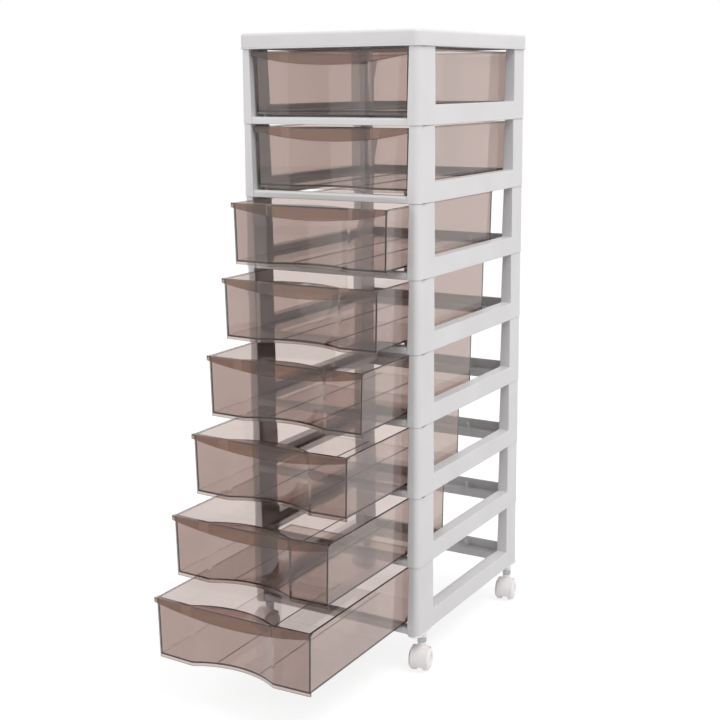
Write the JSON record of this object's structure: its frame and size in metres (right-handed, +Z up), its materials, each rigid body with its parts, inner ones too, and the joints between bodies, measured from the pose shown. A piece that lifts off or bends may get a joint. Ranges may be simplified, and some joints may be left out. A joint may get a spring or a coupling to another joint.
{
  "type": "plastic drawer tower",
  "caption": "Tall stacked drawer tower: white plastic level frames with open sides, translucent smoked drawers with curved fronts, a flat top cover and swivel casters.",
  "frame": {"origin": "Middle of the footprint as posed, on the floor", "axes": "+Z up, +X to the right seen from the front, the drawers open towards -Y"},
  "size_m": [0.2824, 0.5624, 0.835],
  "materials": {
    "frame_plastic": "moulded, satin",
    "smoked_plastic": "clear smoked, glossy",
    "caster_plastic": "moulded, satin",
    "zinc_steel": "bright zinc plated"
  },
  "bodies": {
    "tower": {"top_cover": "frame_plastic", "level_1_frame": "frame_plastic", "level_2_frame": "frame_plastic", "level_3_frame": "frame_plastic", "level_4_frame": "frame_plastic", "level_5_frame": "frame_plastic", "level_6_frame": "frame_plastic", "level_7_frame": "frame_plastic", "level_8_frame": "frame_plastic", "caster_socket_front_left": "caster_plastic", "caster_socket_front_right": "caster_plastic", "caster_socket_rear_left": "caster_plastic", "caster_socket_rear_right": "caster_plastic", "caster_stem_front_left": "zinc_steel", "caster_stem_front_right": "zinc_steel", "caster_stem_rear_left": "zinc_steel", "caster_stem_rear_right": "zinc_steel"},
    "sliding_drawer_1": {"drawer_1": "smoked_plastic"},
    "sliding_drawer_2": {"drawer_2": "smoked_plastic"},
    "sliding_drawer_3": {"drawer_3": "smoked_plastic"},
    "sliding_drawer_4": {"drawer_4": "smoked_plastic"},
    "sliding_drawer_5": {"drawer_5": "smoked_plastic"},
    "sliding_drawer_6": {"drawer_6": "smoked_plastic"},
    "sliding_drawer_7": {"drawer_7": "smoked_plastic"},
    "sliding_drawer_8": {"drawer_8": "smoked_plastic"},
    "swivel_front_left": {"caster_hood_front_left": "caster_plastic", "caster_axle_front_left": "zinc_steel"},
    "swivel_front_right": {"caster_hood_front_right": "caster_plastic", "caster_axle_front_right": "zinc_steel"},
    "swivel_rear_left": {"caster_hood_rear_left": "caster_plastic", "caster_axle_rear_left": "zinc_steel"},
    "swivel_rear_right": {"caster_hood_rear_right": "caster_plastic", "caster_axle_rear_right": "zinc_steel"},
    "inner_wheel_front_left": {"caster_inner_wheel_front_left": "caster_plastic"},
    "outer_wheel_front_left": {"caster_outer_wheel_front_left": "caster_plastic"},
    "inner_wheel_front_right": {"caster_inner_wheel_front_right": "caster_plastic"},
    "outer_wheel_front_right": {"caster_outer_wheel_front_right": "caster_plastic"},
    "inner_wheel_rear_left": {"caster_inner_wheel_rear_left": "caster_plastic"},
    "outer_wheel_rear_left": {"caster_outer_wheel_rear_left": "caster_plastic"},
    "inner_wheel_rear_right": {"caster_inner_wheel_rear_right": "caster_plastic"},
    "outer_wheel_rear_right": {"caster_outer_wheel_rear_right": "caster_plastic"}
  },
  "joints": [
    {"name": "drawer_1_slide", "type": "slide", "parent": "tower", "child": "sliding_drawer_1", "axis": [0, -1, 0], "range_m": [0, 0.25]},
    {"name": "drawer_2_slide", "type": "slide", "parent": "tower", "child": "sliding_drawer_2", "axis": [0, -1, 0], "range_m": [0, 0.25]},
    {"name": "drawer_3_slide", "type": "slide", "parent": "tower", "child": "sliding_drawer_3", "axis": [0, -1, 0], "range_m": [-0.056, 0.194]},
    {"name": "drawer_4_slide", "type": "slide", "parent": "tower", "child": "sliding_drawer_4", "axis": [0, -1, 0], "range_m": [-0.0805, 0.1695]},
    {"name": "drawer_5_slide", "type": "slide", "parent": "tower", "child": "sliding_drawer_5", "axis": [0, -1, 0], "range_m": [-0.1175, 0.1325]},
    {"name": "drawer_6_slide", "type": "slide", "parent": "tower", "child": "sliding_drawer_6", "axis": [0, -1, 0], "range_m": [-0.1545, 0.0955]},
    {"name": "drawer_7_slide", "type": "slide", "parent": "tower", "child": "sliding_drawer_7", "axis": [0, -1, 0], "range_m": [-0.1995, 0.0505]},
    {"name": "drawer_8_slide", "type": "slide", "parent": "tower", "child": "sliding_drawer_8", "axis": [0, -1, 0], "range_m": [-0.2405, 0.0095]},
    {"name": "swivel_front_left_turn", "type": "hinge", "parent": "tower", "child": "swivel_front_left", "pos_m": [-0.1235, -0.01875, 0.0377], "axis": [0, 0, 1], "continuous": true},
    {"name": "swivel_front_right_turn", "type": "hinge", "parent": "tower", "child": "swivel_front_right", "pos_m": [0.1235, -0.01875, 0.0377], "axis": [0, 0, 1], "continuous": true},
    {"name": "swivel_rear_left_turn", "type": "hinge", "parent": "tower", "child": "swivel_rear_left", "pos_m": [-0.1235, 0.25825, 0.0377], "axis": [0, 0, 1], "continuous": true},
    {"name": "swivel_rear_right_turn", "type": "hinge", "parent": "tower", "child": "swivel_rear_right", "pos_m": [0.1235, 0.25825, 0.0377], "axis": [0, 0, 1], "continuous": true},
    {"name": "inner_wheel_front_left_spin", "type": "hinge", "parent": "swivel_front_left", "child": "inner_wheel_front_left", "pos_m": [-0.12485, -0.0246, 0.0155], "axis": [0.9744, -0.225, 0], "continuous": true},
    {"name": "outer_wheel_front_left_spin", "type": "hinge", "parent": "swivel_front_left", "child": "outer_wheel_front_left", "pos_m": [-0.12485, -0.0246, 0.0155], "axis": [0.9744, -0.225, 0], "continuous": true},
    {"name": "inner_wheel_front_right_spin", "type": "hinge", "parent": "swivel_front_right", "child": "inner_wheel_front_right", "pos_m": [0.12485, -0.0246, 0.0155], "axis": [-0.9744, -0.225, 0], "continuous": true},
    {"name": "outer_wheel_front_right_spin", "type": "hinge", "parent": "swivel_front_right", "child": "outer_wheel_front_right", "pos_m": [0.12485, -0.0246, 0.0155], "axis": [-0.9744, -0.225, 0], "continuous": true},
    {"name": "inner_wheel_rear_left_spin", "type": "hinge", "parent": "swivel_rear_left", "child": "inner_wheel_rear_left", "pos_m": [-0.12485, 0.2524, 0.0155], "axis": [0.9744, -0.225, 0], "continuous": true},
    {"name": "outer_wheel_rear_left_spin", "type": "hinge", "parent": "swivel_rear_left", "child": "outer_wheel_rear_left", "pos_m": [-0.12485, 0.2524, 0.0155], "axis": [0.9744, -0.225, 0], "continuous": true},
    {"name": "inner_wheel_rear_right_spin", "type": "hinge", "parent": "swivel_rear_right", "child": "inner_wheel_rear_right", "pos_m": [0.12485, 0.2524, 0.0155], "axis": [-0.9744, -0.225, 0], "continuous": true},
    {"name": "outer_wheel_rear_right_spin", "type": "hinge", "parent": "swivel_rear_right", "child": "outer_wheel_rear_right", "pos_m": [0.12485, 0.2524, 0.0155], "axis": [-0.9744, -0.225, 0], "continuous": true}
  ]
}
